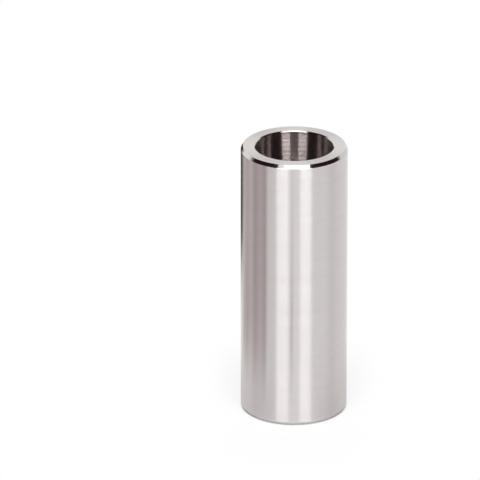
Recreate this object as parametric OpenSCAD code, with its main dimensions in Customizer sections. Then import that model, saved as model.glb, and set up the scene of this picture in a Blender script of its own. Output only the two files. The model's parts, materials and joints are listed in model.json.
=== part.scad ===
// Hollow piston pin: one turned and ground steel tube, standing on its end.
// Z is the pin's axis, the origin is the centre of the lower end face, and sizes are in millimetres.

/* [Pin] */
// Diameter of the ground outside, which runs in the piston bosses and the rod's small end
pin_d = 22; // [18:0.5:40]
// Length from one end face to the other
pin_length = 58; // [20:0.5:120]

/* [Bore] */
// Diameter of the straight bore that takes weight out of the pin
bore_d = 16.1; // [6:0.1:18]
// Length of the chamfer at each mouth of the bore, along the axis
mouth_length = 0.2; // [0.1:0.05:2]
// Angle between a mouth chamfer and the axis
mouth_angle = 45; // [15:1:60]

/* [Lead-in chamfers] */
// Length of the chamfer that leads each outer end into its hole, along the axis
lead_length = 0.7; // [0.3:0.05:3]
// Angle between a lead-in chamfer and the axis
lead_angle = 33; // [10:1:45]

/* [Edges] */
// Radius that blends each lead-in chamfer into the ground outside
blend_r = 0.1; // [0.05:0.05:1.5]
// Radius that breaks the other turned edges
edge_r = 0.05; // [0.02:0.01:0.3]

/* [Hidden] */
pin_r = pin_d / 2;
bore_r = bore_d / 2;
mouth_width = mouth_length * tan(mouth_angle);
lead_width = lead_length * tan(lead_angle);

// Straight steps in each rounded edge of the section
edge_steps = 6;
// Steps in a full turn of the section
turn_steps = 180;
steel_colour = [0.80, 0.78, 0.77];

// The lower end's corners from the bore outwards, each as [[radius, height], edge radius]
lower_end = [
    [[bore_r, mouth_length], edge_r],
    [[bore_r + mouth_width, 0], edge_r],
    [[pin_r - lead_width, 0], edge_r],
    [[pin_r, lead_length], blend_r]
];

// The upper end is the lower one mirrored, from the outside back in to the bore
upper_end = [
    for (i = [len(lower_end) - 1 : -1 : 0])
        let (place = lower_end[i][0])
            [[place.x, pin_length - place.y], lower_end[i][1]]
];

function unit(v) = v / norm(v);

function turned(v, angle) = [
    v.x * cos(angle) - v.y * sin(angle),
    v.x * sin(angle) + v.y * cos(angle)
];

// An arc in place of one corner of a convex outline that runs anticlockwise, tangent to both sides
function rounded_corner(before, corner, after, radius) =
    let (
        back = unit(before - corner),
        ahead = unit(after - corner),
        half_angle = acos(back * ahead) / 2,
        centre = corner + unit(back + ahead) * radius / sin(half_angle),
        start = corner + back * radius / tan(half_angle),
        sweep = 180 - 2 * half_angle
    )
    [for (step = [0 : edge_steps]) centre + turned(start - centre, sweep * step / edge_steps)];

// The outline with every corner rounded to its own edge radius
function rounded_outline(corners) =
    let (count = len(corners))
    [
        for (i = [0 : count - 1])
            each rounded_corner(
                corners[(i + count - 1) % count][0],
                corners[i][0],
                corners[(i + 1) % count][0],
                corners[i][1]
            )
    ];

// The wall's section, turned about the axis
module piston_pin() {
    color(steel_colour)
        rotate_extrude($fn = turn_steps)
            polygon(rounded_outline(concat(lower_end, upper_end)));
}

piston_pin();
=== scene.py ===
"""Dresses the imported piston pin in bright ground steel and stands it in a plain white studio.

The pin is one closed section carried once round the Z axis. Lengths are in metres, and every
finish is worked out from Object coordinates, so the marks follow the turning of the real piece.
"""

import json
import logging
import math
from dataclasses import dataclass
from enum import Enum
from typing import Any, ClassVar, Mapping, Union

import bpy
import numpy as np
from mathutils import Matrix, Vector


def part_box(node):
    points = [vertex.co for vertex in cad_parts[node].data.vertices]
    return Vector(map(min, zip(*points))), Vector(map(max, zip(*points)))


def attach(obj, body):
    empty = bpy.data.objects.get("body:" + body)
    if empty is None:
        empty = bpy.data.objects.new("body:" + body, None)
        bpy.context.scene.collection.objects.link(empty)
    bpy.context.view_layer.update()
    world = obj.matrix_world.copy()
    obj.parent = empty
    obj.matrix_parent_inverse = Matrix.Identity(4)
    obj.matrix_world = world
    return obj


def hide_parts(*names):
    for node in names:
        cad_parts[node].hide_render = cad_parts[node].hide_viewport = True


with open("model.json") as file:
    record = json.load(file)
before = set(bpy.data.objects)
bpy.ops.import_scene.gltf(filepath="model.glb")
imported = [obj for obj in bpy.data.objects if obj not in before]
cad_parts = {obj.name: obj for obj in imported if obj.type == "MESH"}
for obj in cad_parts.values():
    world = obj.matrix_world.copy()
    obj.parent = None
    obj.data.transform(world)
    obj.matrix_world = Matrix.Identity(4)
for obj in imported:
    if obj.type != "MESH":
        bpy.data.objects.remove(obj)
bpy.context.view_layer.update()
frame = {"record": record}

LOG = logging.getLogger("piston_pin")
MM = 0.001
WHITE = (1.0, 1.0, 1.0, 1.0)
BLACK = (0.0, 0.0, 0.0, 1.0)

Number = Union["Field", float]
Colour = tuple[float, float, float, float]


class Field:
    """A shader socket that takes part in Python arithmetic, one Math node for each operation."""

    def __init__(self, graph: "Graph", socket: bpy.types.NodeSocket | None) -> None:
        """Wraps one output socket of a graph's node."""
        self.graph = graph
        self.socket = socket

    def __getitem__(self, output: str) -> "Field":
        """Another output of the same node, by its name."""
        return Field(self.graph, self.socket.node.outputs[output])

    def __add__(self, other: Number) -> "Field":
        """The sum."""
        return self.graph.math("ADD", self, other)

    def __radd__(self, other: Number) -> "Field":
        """The sum, with the number first."""
        return self.graph.math("ADD", other, self)

    def __sub__(self, other: Number) -> "Field":
        """The difference."""
        return self.graph.math("SUBTRACT", self, other)

    def __rsub__(self, other: Number) -> "Field":
        """The difference, with the number first."""
        return self.graph.math("SUBTRACT", other, self)

    def __mul__(self, other: Number) -> "Field":
        """The product."""
        return self.graph.math("MULTIPLY", self, other)

    def __rmul__(self, other: Number) -> "Field":
        """The product, with the number first."""
        return self.graph.math("MULTIPLY", other, self)

    def __truediv__(self, other: Number) -> "Field":
        """The quotient."""
        return self.graph.math("DIVIDE", self, other)

    def __neg__(self) -> "Field":
        """The value with its sign turned."""
        return self.graph.math("MULTIPLY", self, -1.0)

    def __abs__(self) -> "Field":
        """The value without its sign."""
        return self.graph.math("ABSOLUTE", self)

    def ramp(self, low: float, high: float) -> "Field":
        """A smooth step.

        Args:
            low: Value up to which it is 0.
            high: Value from which it is 1.

        Returns:
            The step, from 0 to 1.
        """
        settings = {"interpolation_type": "SMOOTHSTEP"}
        sockets = {"Value": self, "From Min": low, "From Max": high}
        return self.graph.add("ShaderNodeMapRange", settings, sockets)

    def within(self, first: float, last: float, edge: float) -> "Field":
        """Whether the value lies in a range, with soft ends.

        Args:
            first: Middle of the step up.
            last: Middle of the step down.
            edge: Half the length of each step.

        Returns:
            1 in the range and 0 outside it.
        """
        begun = self.ramp(first - edge, first + edge)
        ended = self.ramp(last - edge, last + edge)
        return begun * (1 - ended)


class Graph:
    """A node tree that is built from Python expressions."""

    # A Mix node repeats its sockets' names for every type of value, so those for colours go by number.
    MIX_INPUTS = (0, 6, 7)
    MIX_RESULT = 2

    def __init__(self, tree: bpy.types.NodeTree) -> None:
        """Takes over a tree and empties it."""
        self.tree = tree
        tree.nodes.clear()

    def add(
        self,
        kind: str,
        settings: Mapping[str, Any] | None = None,
        sockets: Mapping[str | int, Any] | None = None,
    ) -> Field:
        """Adds one node.

        Args:
            kind: The node's type name.
            settings: Properties of the node, which are set first.
            sockets: Input sockets by name or number, each with a value or a Field to link.

        Returns:
            The node's first output, or a Field with no socket for an output node.
        """
        node = self.tree.nodes.new(kind)
        for name, value in (settings or {}).items():
            setattr(node, name, value)
        for name, value in (sockets or {}).items():
            if isinstance(value, Field):
                self.tree.links.new(value.socket, node.inputs[name])
            else:
                node.inputs[name].default_value = value
        return Field(self, node.outputs[0] if node.outputs else None)

    def math(self, operation: str, *values: Number) -> Field:
        """Adds one Math node on numbers and Fields, in their order."""
        return self.add("ShaderNodeMath", {"operation": operation}, dict(enumerate(values)))

    def mix_colour(self, factor: Number, first: Field | Colour, second: Field | Colour) -> Field:
        """Mixes two colours.

        Args:
            factor: 0 for the first colour and 1 for the second.
            first: The first colour.
            second: The second colour.

        Returns:
            The mixed colour.
        """
        sockets = dict(zip(self.MIX_INPUTS, (factor, first, second)))
        mixed = self.add("ShaderNodeMix", {"data_type": "RGBA"}, sockets)
        return Field(self, mixed.socket.node.outputs[self.MIX_RESULT])

    def shown(self) -> Field:
        """Tells the rays that show a surface from those that only carry light.

        Returns:
            1 for camera, mirrored and transmitted rays, and 0 for other rays.
        """
        path = self.add("ShaderNodeLightPath")
        mirrored = self.math("MAXIMUM", path["Is Glossy Ray"], path["Is Transmission Ray"])
        return self.math("MAXIMUM", path["Is Camera Ray"], mirrored)


def unit(vectors: np.ndarray) -> np.ndarray:
    """Each row divided by its length."""
    return vectors / np.linalg.norm(vectors, axis=-1, keepdims=True)


def smooth_step(share: np.ndarray) -> np.ndarray:
    """0 up to 0, 1 from 1 on, and between them three times the square less twice the cube."""
    share = np.clip(share, 0, 1)
    return share**2 * (3 - 2 * share)


def grid_mesh(name: str, points: np.ndarray, wrap: bool) -> bpy.types.Mesh:
    """A mesh of quads between the neighbours of a grid, joined into a ring both ways if it wraps.

    Args:
        name: The mesh's name.
        points: Array of rows by columns by three coordinates.
        wrap: Whether the last row and column join the first.

    Returns:
        The mesh, with faces in row order.
    """
    rows, columns = points.shape[:2]
    last = 0 if wrap else 1
    row, column = np.mgrid[0 : rows - last, 0 : columns - last].reshape(2, -1)
    row_after, column_after = (row + 1) % rows, (column + 1) % columns
    quads = np.stack(
        [
            row * columns + column,
            row * columns + column_after,
            row_after * columns + column_after,
            row_after * columns + column,
        ],
        axis=1,
    )
    mesh = bpy.data.meshes.new(name)
    mesh.from_pydata(points.reshape(-1, 3), [], quads)
    return mesh


def turned(profile: np.ndarray, ring: np.ndarray) -> np.ndarray:
    """A profile carried round the Z axis: its radius times each direction, and its height.

    Args:
        profile: Radius and height of each point, or the same two parts of its normal.
        ring: Cosine and sine of each step round the axis.

    Returns:
        Array of profile points by steps by three coordinates.
    """
    flat = profile[:, :1, None] * ring
    rise = np.broadcast_to(profile[:, 1:, None], (*flat.shape[:2], 1))
    return np.concatenate([flat, rise], axis=2)


def link(name: str, data: bpy.types.ID) -> bpy.types.Object:
    """Puts a mesh, a lamp or a camera into the scene.

    Args:
        name: The object's name.
        data: What the object shows.

    Returns:
        The new object.
    """
    made = bpy.data.objects.new(name, data)
    bpy.context.scene.collection.objects.link(made)
    return made


class Region(Enum):
    """The stretches of the pin's section, each with a finish and a material slot of its own."""

    GROUND = 0
    TURNED = 1
    FACED = 2
    BORED = 3


class Across(Enum):
    """The direction that a tool's marks are counted in, at right angles to the marks."""

    AXIS = "along the axis, for marks round a cylinder"
    RADIUS = "along the radius, for rings on a flat end"
    SLOPE = "along both, for rings on a chamfer"


class Streak(Enum):
    """The sizes of streak in a finish, each as multiples of its pitch and of its reach."""

    FINE = (1.0, 1.0)
    PATCHY = (5.0, 0.4)
    BROAD = (12.0, 3.0)


@dataclass(frozen=True)
class FeedMarks:
    """The boring tool's feed marks: two sine waves along the bore, whose beat shows as rings.

    Attributes:
        pitches: Wavelengths of the two waves, the shorter first.
        slopes: Steepest slope of each wave.
        phases: Where each wave starts.
        lead: Length at each end of the wall over which the marks begin.
        start: Share of their full height that they begin with.
        reach: Distance from each end at which they have their full height.
        fade: Length beyond it over which they die away.
        steps: Steps in each of the shorter waves.
    """

    pitches: tuple[float, float] = (0.20 * MM, 0.25 * MM)
    slopes: tuple[float, float] = (0.60, 0.085)
    phases: tuple[float, float] = (1.3, 1.3)
    lead: float = 0.2 * MM
    start: float = 0.52
    reach: float = 6.2 * MM
    fade: float = 4.5 * MM
    steps: int = 6

    @property
    def gone(self) -> float:
        """Distance from each end at which the marks are gone."""
        return self.reach + self.fade

    def shares(self, length: float, plain_steps: int) -> np.ndarray:
        """Places along the wall: close together where there are marks, wide apart between them.

        Args:
            length: Length of the wall.
            plain_steps: Steps in its plain middle.

        Returns:
            The places as shares of the length, without its two ends.
        """
        step = self.pitches[0] / self.steps
        close = np.arange(step, self.gone, step)
        wide = np.linspace(self.gone, length - self.gone, plain_steps + 1)
        return np.concatenate([close, wide, length - close[::-1]]) / length

    def depth(self, height: np.ndarray, low: float, high: float) -> np.ndarray:
        """Depth of the marks: each wave's slope over its wave number times its sine.

        The marks begin at each end, grow evenly as far as they reach, and die away along a smooth step.

        Args:
            height: Heights along the wall.
            low: Height of the wall's lower end.
            high: Height of its upper end.

        Returns:
            The depth at each height, positive into the steel.
        """
        number = 2 * np.pi / np.array(self.pitches)
        waves = np.sin(height[:, None] * number + self.phases) * self.slopes / number
        from_end = np.minimum(height - low, high - height)
        begun = np.clip(from_end / self.lead, 0, 1)
        grown = self.start + (1 - self.start) * np.clip(from_end / self.reach, 0, 1)
        left = smooth_step((self.gone - from_end) / self.fade)
        return waves.sum(1) * begun * grown * left


@dataclass(frozen=True, kw_only=True)
class SteelFinish:
    """Bare steel with the marks of one tool, all of which run round the axis.

    Attributes:
        name: The material's name.
        across: The direction that the marks are counted in.
        tint: Colour of the steel where it is cleanest.
        shade: Colour of the steel in its duller streaks.
        roughness: Middle roughness.
        spread: How far the roughness strays to each side.
        stretch: Anisotropy, which stretches a highlight across the marks.
        pitch: Mean distance from one mark to the next.
        reach: Length over which a mark keeps its depth.
        depth: Height of the marks.
        metal: Share of the light that it mirrors as bare metal, where it scatters the rest evenly.
    """

    name: str
    across: Across
    tint: Colour
    shade: Colour
    roughness: float
    spread: float
    stretch: float
    pitch: float
    reach: float
    depth: float
    metal: float = 1.0

    # The streaks set the noise's size through its coordinates, so its own scale is 1.
    NOISE: ClassVar[dict[str, float]] = {"Scale": 1.0, "Detail": 2.0}
    QUARTER_TURN: ClassVar[float] = 0.25

    def place_across(self, graph: Graph, place: Field) -> Field:
        """How far a point lies across the marks.

        Args:
            graph: The material's graph.
            place: The point's separated coordinates.

        Returns:
            Height, distance from the axis, or their sum, in metres.
        """
        if self.across is Across.AXIS:
            return place["Z"]
        radius = graph.math("SQRT", place["X"] * place["X"] + place["Y"] * place["Y"])
        if self.across is Across.RADIUS:
            return radius
        return place["Z"] + radius

    def streaks(self, graph: Graph, place: Field, size: Streak) -> Field:
        """Streaks round the axis: noise that changes fast across the marks and slowly along them.

        Args:
            graph: The material's graph.
            place: The point's separated coordinates.
            size: How large the streaks are.

        Returns:
            The noise, from 0 to 1.
        """
        pitches, reaches = size.value
        sockets = {
            "X": place["X"] / (reaches * self.reach),
            "Y": place["Y"] / (reaches * self.reach),
            "Z": self.place_across(graph, place) / (pitches * self.pitch),
        }
        stretched = graph.add("ShaderNodeCombineXYZ", None, sockets)
        return graph.add("ShaderNodeTexNoise", None, {"Vector": stretched, **self.NOISE})

    def roughness_at(self, graph: Graph, place: Field, broad: Field) -> Field:
        """The roughness at a point.

        Args:
            graph: The material's graph, which is not used here.
            place: The point's separated coordinates, which are not used here.
            broad: The broad streaks, from 0 to 1.

        Returns:
            The roughness.
        """
        return self.roughness + (2 * broad - 1) * self.spread

    def material(self) -> bpy.types.Material:
        """Builds the finish, whose streaks vary its colour, its roughness and its bump.

        Returns:
            The new material.
        """
        made = bpy.data.materials.new(self.name)
        made.use_nodes = True
        graph = Graph(made.node_tree)
        point = graph.add("ShaderNodeTexCoord")["Object"]
        place = graph.add("ShaderNodeSeparateXYZ", None, {"Vector": point})
        fine = self.streaks(graph, place, Streak.FINE)
        patchy = self.streaks(graph, place, Streak.PATCHY)
        broad = self.streaks(graph, place, Streak.BROAD)
        bump = graph.add("ShaderNodeBump", None, {"Height": fine, "Distance": self.depth})
        sockets = {
            "Base Color": graph.mix_colour((patchy + broad) / 2, self.shade, self.tint),
            "Metallic": self.metal,
            "Roughness": self.roughness_at(graph, place, broad),
            "Anisotropic": self.stretch,
            "Anisotropic Rotation": self.QUARTER_TURN,
            "Normal": bump,
        }
        steel = graph.add("ShaderNodeBsdfPrincipled", None, sockets)
        graph.add("ShaderNodeOutputMaterial", None, {"Surface": steel})
        return made


@dataclass(frozen=True, kw_only=True)
class BoredFinish(SteelFinish):
    """Bored steel that is rougher deep in the bore, where its feed marks aren't modelled.

    Attributes:
        deep_roughness: Middle roughness deep in the bore.
        marks: The feed marks that are modelled near each end.
        length: Length of the pin.
    """

    deep_roughness: float
    marks: FeedMarks
    length: float

    def roughness_at(self, graph: Graph, place: Field, broad: Field) -> Field:
        """The roughness at a point, which grows as the feed marks die away from the nearer end.

        Args:
            graph: The material's graph.
            place: The point's separated coordinates.
            broad: The broad streaks, from 0 to 1.

        Returns:
            The roughness.
        """
        from_end = graph.math("MINIMUM", place["Z"], self.length - place["Z"])
        deep = from_end.ramp(self.marks.reach, self.marks.gone)
        return super().roughness_at(graph, place, broad) + deep * (self.deep_roughness - self.roughness)


GROUND_OUTSIDE = SteelFinish(
    name="ground_outside",
    across=Across.AXIS,
    tint=(0.747, 0.711, 0.707, 1.0),
    shade=(0.657, 0.621, 0.617, 1.0),
    roughness=0.235,
    spread=0.015,
    stretch=1.0,
    pitch=0.16 * MM,
    reach=9.0 * MM,
    depth=0.0004 * MM,
)
TURNED_CHAMFERS = SteelFinish(
    name="turned_chamfers",
    across=Across.SLOPE,
    tint=(0.68, 0.655, 0.645, 1.0),
    shade=(0.65, 0.625, 0.615, 1.0),
    roughness=0.10,
    spread=0.02,
    stretch=0.4,
    pitch=0.09 * MM,
    reach=6.0 * MM,
    depth=0.0002 * MM,
)
FACED_ENDS = SteelFinish(
    name="faced_ends",
    across=Across.RADIUS,
    tint=(0.688, 0.657, 0.636, 1.0),
    shade=(0.654, 0.623, 0.602, 1.0),
    roughness=0.29,
    spread=0.03,
    stretch=0.82,
    pitch=0.14 * MM,
    reach=7.0 * MM,
    depth=0.001 * MM,
    metal=0.75,
)


def bored_wall(marks: FeedMarks, length: float) -> BoredFinish:
    """The finish of the bore's wall, fitted to its feed marks, whose far darker colour paints shade into
    the bore.

    Args:
        marks: The feed marks in the bore.
        length: Length of the pin.

    Returns:
        The finish.
    """
    return BoredFinish(
        name="bored_wall",
        across=Across.AXIS,
        # Painted shade: this tint and shade are far darker than the ground outside's and darken the whole
        # bore.
        tint=(0.435, 0.378, 0.365, 1.0),
        shade=(0.404, 0.347, 0.334, 1.0),
        roughness=0.22,
        spread=0.02,
        stretch=1.0,
        pitch=0.22 * MM,
        reach=9.0 * MM,
        depth=0.001 * MM,
        deep_roughness=0.28,
        marks=marks,
        length=length,
    )


@dataclass(frozen=True)
class Section:
    """A closed outline, anticlockwise.

    Attributes:
        points: Radius and height of each point.
        normals: The same two parts of the outward normal at each point.
        regions: Number of the region that the step after each point is in.
    """

    points: np.ndarray
    normals: np.ndarray
    regions: np.ndarray


@dataclass(frozen=True)
class PistonPin:
    """The whole pin: a tube with a lead-in chamfer and a mouth chamfer at each end.

    Attributes:
        radius: Radius of the ground outside.
        bore_radius: Radius of the bore.
        length: Length from one end face to the other.
        lead_length: Length of a lead-in chamfer along the axis.
        lead_angle: Angle of a lead-in chamfer to the axis.
        mouth_length: Length of a mouth chamfer along the axis.
        mouth_angle: Angle of a mouth chamfer to the axis.
        blend_radius: Radius between a lead-in chamfer and the ground outside.
        edge_radius: Radius of the other edges.
        arc_steps: Steps in each rounded edge.
        mouth_steps: Steps across a mouth chamfer.
        face_steps: Steps across an end face.
        lead_steps: Steps across a lead-in chamfer.
        wall_steps: Steps along the outside, and along the plain middle of the bore.
        turn_steps: Steps round the axis.
        marks: The feed marks in the bore.
    """

    radius: float
    bore_radius: float
    length: float
    lead_length: float = 0.7 * MM
    lead_angle: float = math.radians(33)
    mouth_length: float = 0.2 * MM
    mouth_angle: float = math.radians(45)
    blend_radius: float = 0.1 * MM
    edge_radius: float = 0.05 * MM
    arc_steps: int = 6
    mouth_steps: int = 2
    face_steps: int = 6
    lead_steps: int = 3
    wall_steps: int = 24
    turn_steps: int = 128
    marks: FeedMarks = FeedMarks()

    NAME: ClassVar[str] = "pin_body"
    NODE: ClassVar[str] = "piston_pin"
    SLOT: ClassVar[str] = "ground_steel"

    @classmethod
    def from_frame(cls) -> "PistonPin":
        """Takes the pin's main sizes from the frame.

        Returns:
            The pin with the radii of the record's mounts and the length of the CAD node.
        """
        radii = {mount["name"]: mount["dims"].get("r_mm") for mount in frame["record"]["mounts"]}
        low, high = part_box(cls.NODE)
        return cls(radii["outside"] * MM, radii["bore"] * MM, high.z - low.z)

    def corners(self) -> tuple[np.ndarray, np.ndarray]:
        """The section's sharp corners, from the lower mouth outwards, up and back in.

        Returns:
            Radius and height of each corner, and each corner's edge radius.
        """
        mouth = self.bore_radius + self.mouth_length * math.tan(self.mouth_angle)
        face = self.radius - self.lead_length * math.tan(self.lead_angle)
        lower = np.array(
            [
                (self.bore_radius, self.mouth_length, self.edge_radius),
                (mouth, 0.0, self.edge_radius),
                (face, 0.0, self.edge_radius),
                (self.radius, self.lead_length, self.blend_radius),
            ]
        )
        upper = lower[::-1] * (1, -1, 1) + (0, self.length, 0)
        corners = np.concatenate([lower, upper])
        return corners[:, :2], corners[:, 2]

    def edge_arcs(self) -> tuple[np.ndarray, np.ndarray]:
        """The rounded corners: arcs about centres on the corners' bisectors, tangent to both sides.

        Returns:
            The arcs' points and their normals, as arrays of corners by points by two parts.
        """
        corners, radii = self.corners()
        back = unit(np.roll(corners, 1, axis=0) - corners)
        ahead = unit(np.roll(corners, -1, axis=0) - corners)
        half = np.arccos((back * ahead).sum(1)) / 2
        centres = corners + unit(back + ahead) * (radii / np.sin(half))[:, None]
        start = np.arctan2(back[:, 0], -back[:, 1])
        share = np.linspace(0, 1, self.arc_steps + 1)
        angle = start[:, None] + (np.pi - 2 * half)[:, None] * share
        normals = np.stack([np.cos(angle), np.sin(angle)], axis=2)
        return centres[:, None] + radii[:, None, None] * normals, normals

    def sides(self) -> tuple[tuple[Region, int], ...]:
        """The straight sides, in the corners' order.

        Returns:
            Region and number of steps of the side after each corner.
        """
        end = (
            (Region.TURNED, self.mouth_steps),
            (Region.FACED, self.face_steps),
            (Region.TURNED, self.lead_steps),
        )
        return (*end, (Region.GROUND, self.wall_steps), *end[::-1], (Region.BORED, self.wall_steps))

    def plain_side(
        self, steps: int, first: np.ndarray, last: np.ndarray, normal: np.ndarray
    ) -> tuple[np.ndarray, np.ndarray]:
        """A straight side: shares of the way from one arc to the next, all with one normal.

        Args:
            steps: Steps in the side.
            first: Where it begins.
            last: Where it ends.
            normal: Its normal.

        Returns:
            The points between its ends, and their normals.
        """
        share = np.linspace(0, 1, steps + 1)[1:-1]
        return first + (last - first) * share[:, None], np.tile(normal, (len(share), 1))

    def marked_side(
        self, steps: int, first: np.ndarray, last: np.ndarray
    ) -> tuple[np.ndarray, np.ndarray]:
        """The bore's wall, moved by the depth of its feed marks, with the normals that their slope gives.

        Args:
            steps: Steps in its plain middle.
            first: Its upper end.
            last: Its lower end.

        Returns:
            The points between its ends, and their normals, which point at the axis.
        """
        low, high = last[1], first[1]
        wall = first + (last - first) * self.marks.shares(high - low, steps)[:, None]
        depth = self.marks.depth(wall[:, 1], low, high)
        slope = np.gradient(depth, wall[:, 1])
        moved = wall + np.stack([depth, np.zeros_like(depth)], axis=1)
        return moved, unit(np.stack([-np.ones_like(slope), slope], axis=1))

    def section(self) -> Section:
        """The section with its corners rounded: each arc, then the side after it.

        Returns:
            The outline.
        """
        arcs, arc_normals = self.edge_arcs()
        ends = np.roll(arcs[:, 0], -1, axis=0)
        points, normals, regions = [], [], []
        for (region, steps), arc, arc_normal, end in zip(self.sides(), arcs, arc_normals, ends):
            if region is Region.BORED:
                side, side_normals = self.marked_side(steps, arc[-1], end)
            else:
                side, side_normals = self.plain_side(steps, arc[-1], end, arc_normal[-1])
            points += [arc, side]
            normals += [arc_normal, side_normals]
            regions += [
                np.full(self.arc_steps, Region.TURNED.value),
                np.full(len(side) + 1, region.value),
            ]
        return Section(np.concatenate(points), np.concatenate(normals), np.concatenate(regions))

    def build(self) -> bpy.types.Object:
        """Carries the section once round the axis: radius times cosine and sine, and the height.

        Returns:
            The pin as one closed, smooth piece.
        """
        section = self.section()
        turn = np.linspace(0, 2 * np.pi, self.turn_steps, endpoint=False)
        ring = np.stack([np.cos(turn), np.sin(turn)], axis=1)
        mesh = grid_mesh(self.NAME, turned(section.points, ring), wrap=True)
        mesh.polygons.foreach_set("material_index", np.repeat(section.regions, self.turn_steps))
        mesh.polygons.foreach_set("use_smooth", np.ones(len(mesh.polygons), dtype=bool))
        mesh.normals_split_custom_set_from_vertices(turned(section.normals, ring).reshape(-1, 3))
        return link(self.NAME, mesh)

    def dress(self, piece: bpy.types.Object) -> None:
        """Gives each region its finish, and puts the piece in the CAD node's place.

        Args:
            piece: The piece that build made.
        """
        finishes = {
            Region.GROUND: GROUND_OUTSIDE,
            Region.TURNED: TURNED_CHAMFERS,
            Region.FACED: FACED_ENDS,
            Region.BORED: bored_wall(self.marks, self.length),
        }
        for region in Region:
            piece.data.materials.append(finishes[region].material())
        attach(piece, "root")
        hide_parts(self.NODE)


@dataclass(frozen=True, kw_only=True)
class DimWing:
    """A dim stretch of the studio round the pin, which the camera sees only in the steel.

    Attributes:
        first: Angle to the left of the front at which it begins.
        last: Angle at which it ends.
        edge: Softness of its two ends.
        near: Distance along the floor at which it begins.
        far: Distance along the floor at which it ends, by default past the floor's edge.
        rise: Height to which it rises over its distance, by default nowhere above the floor.
        tone: Colour that it has in place of white.
        folds: How much its soft upright folds take from its cover.
        fold_angle: Angle from one fold to the next.
        fold_from: Angle of a fold that is fully dim.
    """

    first: float
    last: float
    edge: float
    near: float
    far: float = 2.0
    rise: float = -1.1
    tone: Colour
    folds: float = 0.0
    fold_angle: float = math.radians(28.5)
    fold_from: float = math.radians(64.5)

    def cover(self, graph: Graph, bearing: Field) -> Field:
        """How far the wing covers a direction.

        Args:
            graph: The graph that the direction is in.
            bearing: The direction's angle to the left of the front.

        Returns:
            The cover, from 0 to 1.
        """
        wave = graph.math("COSINE", (bearing - self.fold_from) * (2 * math.pi / self.fold_angle))
        folded = 1 - (1 - wave) * (self.folds / 2)
        return bearing.within(self.first, self.last, self.edge) * folded


LEFT_FADE = DimWing(
    first=math.radians(40),
    last=math.radians(66),
    edge=math.radians(6),
    near=0.0,
    rise=0.8,
    tone=(0.92, 0.92, 0.92, 1.0),
)
LEFT_CARD = DimWing(
    first=math.radians(62.5),
    last=math.radians(146),
    edge=math.radians(3),
    near=34 * MM,
    rise=0.06,
    tone=(0.50, 0.43, 0.43, 1.0),
    folds=0.26,
)
RIGHT_CARD = DimWing(
    first=math.radians(-152),
    last=math.radians(-78),
    edge=math.radians(10),
    near=0.0,
    rise=0.8,
    tone=(0.87, 0.86, 0.86, 1.0),
)
REAR_FLAG = DimWing(
    first=math.radians(145),
    last=math.radians(176),
    edge=math.radians(4),
    near=85 * MM,
    rise=0.0,
    tone=(0.03, 0.02, 0.02, 1.0),
)
FRONT_STAND = DimWing(
    first=math.radians(2.0),
    last=math.radians(8.6),
    edge=math.radians(1.5),
    near=45 * MM,
    far=82 * MM,
    tone=(0.50, 0.44, 0.45, 1.0),
)
WINGS = (LEFT_FADE, LEFT_CARD, RIGHT_CARD, REAR_FLAG, FRONT_STAND)


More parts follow.
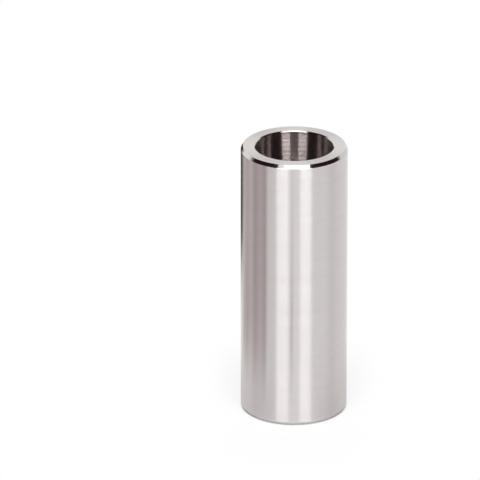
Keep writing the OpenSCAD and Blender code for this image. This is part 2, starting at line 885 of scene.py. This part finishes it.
@dataclass(frozen=True)
class Floor:
    """A plain white floor that keeps the pin's shadow and reads as white all round it.

    Attributes:
        pin_radius: Radius of the pin's outside, which stands on the floor and mirrors it.
        radius: Radius of the disc.
        inner: Radius of the small hole in the disc, under the bore.
        rings: Rings of points in the disc.
        turn_steps: Points round the disc.
        colour: Colour of the floor under light.
        contact_shadow: Colour of the painted shadow along the line in which the pin stands on the floor.
        shadow: Share of the floor close to the pin that takes its shadow, where the rest is white.
        mirrored_shadow: The same share for mirrored rays.
        shadow_to: Distance to each side of the pin's middle at which the shadow is gone.
        near_shade: Colour of the painted shade that mirrored rays see close to the pin's sides.
        near_from: Angle from the front from which it starts to have that colour.
        near_full: Angle from which it has all of it.
        foot: Distance from the axis up to which the floor has its painted shadow at the pin's foot.
        skirt: Distance from which that painted shadow is gone and it has its share of pure white.
        clear: Distance from the axis from which the floor starts to be all white.
        far: Distance from which it is all white.
        flag_edge: Length over which a wing begins or ends on the floor.
        bearing_rounds: Rounds in which a mirrored bearing is worked out.
    """

    pin_radius: float
    radius: float = 1.5
    inner: float = 0.5 * MM
    rings: int = 12
    turn_steps: int = 64
    colour: Colour = (0.98, 0.98, 0.98, 1.0)
    contact_shadow: Colour = (0.46, 0.43, 0.43, 1.0)
    shadow: float = 0.20
    mirrored_shadow: float = 0.05
    shadow_to: float = 20 * MM
    near_shade: Colour = (0.76, 0.735, 0.735, 1.0)
    near_from: float = math.radians(25)
    near_full: float = math.radians(95)
    foot: float = 10.4 * MM
    skirt: float = 11.3 * MM
    clear: float = 14 * MM
    far: float = 40 * MM
    flag_edge: float = 15 * MM
    bearing_rounds: int = 2

    NAME: ClassVar[str] = "studio_floor"

    def build(self) -> bpy.types.Object:
        """A flat disc on a grid of radius and angle, with its centre under the pin.

        Returns:
            The floor.
        """
        reach = np.linspace(self.inner, self.radius, self.rings)[:, None]
        turn = np.linspace(2 * np.pi, 0, self.turn_steps)
        disc = [reach * np.cos(turn), reach * np.sin(turn), np.zeros((self.rings, self.turn_steps))]
        mesh = grid_mesh(self.NAME, np.stack(disc, axis=2), wrap=False)
        mesh.materials.append(self.material())
        floor = link(self.NAME, mesh)
        return floor

    def material(self) -> bpy.types.Material:
        """Lit white mixed with an even white, whose share grows with the distance from the pin, with a
        painted shadow at the pin's foot and painted shade close to its sides in what the steel mirrors.

        Returns:
            The new material.
        """
        made = bpy.data.materials.new("white_floor")
        made.use_nodes = True
        # Only the rays that show the floor see its even white, so it isn't sampled as a lamp.
        made.cycles.emission_sampling = "NONE"
        graph = Graph(made.node_tree)
        point = graph.add("ShaderNodeTexCoord")["Object"]
        place = graph.add("ShaderNodeSeparateXYZ", None, {"Vector": point})
        distance = graph.add("ShaderNodeVectorMath", {"operation": "LENGTH"}, {0: point})["Value"]
        mirrored = graph.add("ShaderNodeLightPath")["Is Glossy Ray"]
        close = 1 - distance.ramp(self.clear, self.far)
        # Painted shadow at the pin's foot: up to the foot the floor takes a dark colour in place of its
        # own and has no even white, and this fades out by the skirt.
        clear_of_contact_shadow = distance.ramp(self.foot, self.skirt)
        behind_pin = 1 - abs(place["X"]).ramp(self.pin_radius, self.shadow_to)
        shadow = self.shadow * behind_pin * (1 - mirrored) + self.mirrored_shadow * mirrored
        even = graph.shown() * (1 - shadow * close) * clear_of_contact_shadow
        colour_with_contact_shadow = graph.mix_colour(clear_of_contact_shadow, self.contact_shadow, self.colour)
        tone = graph.mix_colour(mirrored, WHITE, self.mirrored_tone(graph, place, distance, close))
        sockets = {
            "Base Color": graph.mix_colour(even, colour_with_contact_shadow, BLACK),
            "Roughness": 1.0,
            "Specular IOR Level": 0.0,
            "Emission Color": graph.mix_colour(even, BLACK, tone),
            "Emission Strength": 1.0,
        }
        surface = graph.add("ShaderNodeBsdfPrincipled", None, sockets)
        graph.add("ShaderNodeOutputMaterial", None, {"Surface": surface})
        return made

    def mirrored_tone(self, graph: Graph, place: Field, distance: Field, close: Field) -> Field:
        """The colour that the pin mirrors: white with the wings in it, and painted shade close to its
        sides.

        Args:
            graph: The material's graph.
            place: The separated coordinates of a point on the floor.
            distance: Its distance from the axis.
            close: 1 close to the pin and 0 on the open floor.

        Returns:
            The colour.
        """
        bearing = self.mirrored_bearing(graph, place, distance)
        tone = WHITE
        for wing in WINGS:
            cover = wing.cover(graph, bearing) * distance.within(wing.near, wing.far, self.flag_edge)
            tone = graph.mix_colour(cover, tone, wing.tone)
        # Painted shade: close to the pin's sides the mirrored floor takes a darker colour.
        beside = abs(bearing).ramp(self.near_from, self.near_full)
        return graph.mix_colour(close * beside, tone, self.near_shade)

    def mirrored_bearing(self, graph: Graph, place: Field, distance: Field) -> Field:
        """The angle to the left of the front at which the pin's side mirrors a ray to a point.

        The ray leaves the side at half that angle round the pin, so the angle is the point's own
        one plus the arcsine of radius over distance times the sine of half the angle.

        Args:
            graph: The material's graph.
            place: The separated coordinates of a point on the floor.
            distance: Its distance from the axis.

        Returns:
            The angle.
        """
        straight = graph.math("ARCTAN2", -place["X"], -place["Y"])
        bearing = straight
        for _ in range(self.bearing_rounds):
            aside = graph.math("SINE", bearing / 2) * self.pin_radius / distance
            bearing = straight + graph.math("ARCSINE", aside)
        return bearing


@dataclass(frozen=True, kw_only=True)
class Softbox:
    """A panel of even light in front of the pin, upright or leaning over it.

    Attributes:
        name: The lamp's name.
        left: Left edge.
        right: Right edge.
        bottom: Lower edge.
        top: Upper edge while the panel is upright.
        distance: Distance of the lower edge in front of the pin.
        radiance: Brightness of the panel, where 1 is white.
        lean: Angle that the panel's top leans towards the pin, about its lower edge.
    """

    name: str
    left: float
    right: float
    bottom: float
    top: float
    distance: float
    radiance: float
    lean: float = 0.0

    def build(self) -> bpy.types.Object:
        """An area lamp of that brightness: its power is radiance times pi times area.

        Returns:
            The lamp, which the camera doesn't see.
        """
        lamp = bpy.data.lights.new(self.name, "AREA")
        lamp.shape = "RECTANGLE"
        lamp.size = self.right - self.left
        lamp.size_y = self.top - self.bottom
        lamp.energy = self.radiance * math.pi * lamp.size * lamp.size_y
        made = link(self.name, lamp)
        half = lamp.size_y / 2
        made.location = (
            (self.left + self.right) / 2,
            half * math.sin(self.lean) - self.distance,
            self.bottom + half * math.cos(self.lean),
        )
        made.rotation_euler = (math.pi / 2 - self.lean, 0, 0)
        made.visible_camera = False
        return made


FRONT_DISTANCE = 1.1
FRONT_BOTTOM = 0.20
FRONT_TOP = 1.02
FRONT_RADIANCE = 5.6
TOP_LEAN = math.radians(18)
OVERHEAD_RADIANCE = 2.2
PANELS = (
    Softbox(
        name="left_panel",
        left=-0.850,
        right=-0.245,
        bottom=FRONT_BOTTOM,
        top=FRONT_TOP,
        distance=FRONT_DISTANCE,
        radiance=FRONT_RADIANCE,
    ),
    Softbox(
        name="right_panel",
        left=0.240,
        right=0.815,
        bottom=FRONT_BOTTOM,
        top=FRONT_TOP,
        distance=FRONT_DISTANCE,
        radiance=FRONT_RADIANCE,
    ),
    Softbox(
        name="left_filler",
        left=-0.920,
        right=-0.435,
        bottom=FRONT_TOP,
        top=1.45,
        distance=FRONT_DISTANCE,
        radiance=1.0,
    ),
    Softbox(
        name="top_panel",
        left=-0.435,
        right=0.750,
        bottom=0.72,
        top=1.47,
        distance=FRONT_DISTANCE,
        radiance=2.4,
        lean=TOP_LEAN,
    ),
    # The upper panel goes on from the top panel's upper edge, at the same lean.
    Softbox(
        name="upper_panel",
        left=-1.050,
        right=1.050,
        bottom=1.433,
        top=2.183,
        distance=0.868,
        radiance=OVERHEAD_RADIANCE,
        lean=TOP_LEAN,
    ),
    # The roof panel leans so far that it is level.
    Softbox(
        name="roof_panel",
        left=-0.600,
        right=0.600,
        bottom=2.20,
        top=2.90,
        distance=0.62,
        radiance=OVERHEAD_RADIANCE,
        lean=math.radians(90),
    ),
)


@dataclass(frozen=True)
class Room:
    """What surrounds the pin: a dim room with a white backdrop that rises from the sides to the back.

    Heights and widths are parts of a direction of length 1.

    Attributes:
        dim: Colour of the dim room.
        side_height: Height of the backdrop at the sides.
        side_rise: How fast it gets higher from the sides to the back.
        top_height: Height at which it stops getting higher.
        tilt: How much lower it is on the right.
        begins: How far back it begins.
        top_edge: Softness of its upper edge.
        edge: Softness of the other edges.
        strip_width: Half the width of a white strip from its top to right overhead.
        strip_edge: Softness of the strip's edges.
    """

    dim: Colour = (0.029, 0.0095, 0.0145, 1.0)
    side_height: float = 0.173
    side_rise: float = 1.2
    top_height: float = 0.56
    tilt: float = 0.041
    begins: float = 0.10
    top_edge: float = 0.08
    edge: float = 0.03
    strip_width: float = 0.12
    strip_edge: float = 0.06

    def build(self) -> bpy.types.World:
        """A world that is white to the camera and shows the room to everything else.

        Returns:
            The new world, in use.
        """
        world = bpy.data.worlds.new("studio_room")
        bpy.context.scene.world = world
        world.use_nodes = True
        graph = Graph(world.node_tree)
        direction = graph.add("ShaderNodeTexCoord")["Generated"]
        way = graph.add("ShaderNodeSeparateXYZ", None, {"Vector": direction})
        aside = abs(way["X"])
        top = self.side_height + (1 - aside) * self.side_rise - way["X"] * self.tilt
        top = graph.math("MINIMUM", top, self.top_height)
        backdrop = (top - way["Z"]).ramp(-self.top_edge, self.top_edge)
        strip = (self.strip_width - aside).ramp(-self.strip_edge, self.strip_edge)
        backdrop = graph.math("MAXIMUM", backdrop, strip)
        backdrop = backdrop * (way["Y"] - self.begins).ramp(-self.edge, self.edge)
        tone = WHITE
        bearing = graph.math("ARCTAN2", -way["X"], -way["Y"])
        for wing in WINGS:
            low = (wing.rise - way["Z"]).ramp(-self.edge, self.edge)
            tone = graph.mix_colour(wing.cover(graph, bearing) * low, tone, wing.tone)
        room = graph.mix_colour(backdrop, self.dim, tone)
        seen = graph.add("ShaderNodeLightPath")["Is Camera Ray"]
        colour = graph.mix_colour(seen, room, WHITE)
        sky = graph.add("ShaderNodeBackground", None, {"Color": colour, "Strength": 1.0})
        graph.add("ShaderNodeOutputWorld", None, {"Surface": sky})
        return world


@dataclass(frozen=True)
class StudioCamera:
    """A long lens that looks down on the pin from the front.

    Attributes:
        elevation: Angle of the view above the horizon.
        distance: Distance from the pin's middle.
        clip: Nearest and farthest distance that it sees.
        frame_px: Width and height of the picture.
        radius_px: Outside radius of the pin in the picture.
        pin_px: Where the pin's middle falls in the picture, from its upper left corner.
    """

    elevation: float = math.radians(23.01)
    distance: float = 1.65
    clip: tuple[float, float] = (0.05, 10.0)
    frame_px: float = 480.0
    radius_px: float = 53.276
    pin_px: tuple[float, float] = (293.99, 275.62)

    NAME: ClassVar[str] = "studio_camera"

    def build(self, pin: PistonPin) -> bpy.types.Object:
        """Places the camera so that the pin falls on its pixel at its size.

        Args:
            pin: The pin, for its radius and its middle.

        Returns:
            The scene's camera.
        """
        lens = bpy.data.cameras.new(self.NAME)
        lens.lens = lens.sensor_width * self.radius_px * self.distance / (self.frame_px * pin.radius)
        lens.clip_start, lens.clip_end = self.clip
        ahead = Vector((0, math.cos(self.elevation), -math.sin(self.elevation)))
        right = Vector((1, 0, 0))
        upward = right.cross(ahead)
        px = pin.radius / self.radius_px
        aside = (self.pin_px[0] - self.frame_px / 2) * px
        below = (self.pin_px[1] - self.frame_px / 2) * px
        made = link(self.NAME, lens)
        middle = Vector((0, 0, pin.length / 2))
        made.location = middle - right * aside + upward * below - ahead * self.distance
        made.rotation_euler = (math.pi / 2 - self.elevation, 0, 0)
        bpy.context.scene.camera = made
        return made


def main() -> None:
    """Builds the pin, the studio and the camera in order."""
    logging.basicConfig(level=logging.INFO, format="%(name)s: %(message)s")
    bpy.context.scene.view_settings.view_transform = "Standard"
    pin = PistonPin.from_frame()
    piece = pin.build()
    pin.dress(piece)
    LOG.info("%s: %d faces", piece.name, len(piece.data.polygons))
    floor = Floor(pin.radius).build()
    LOG.info("%s: %d faces", floor.name, len(floor.data.polygons))
    for panel in PANELS:
        LOG.info("%s: %.1f W", panel.name, panel.build().data.energy)
    LOG.info("%s: white backdrop, dim sides", Room().build().name)
    camera = StudioCamera().build(pin)
    LOG.info("%s: %.0f mm lens", camera.name, camera.data.lens)


if __name__ == "__main__":
    main()
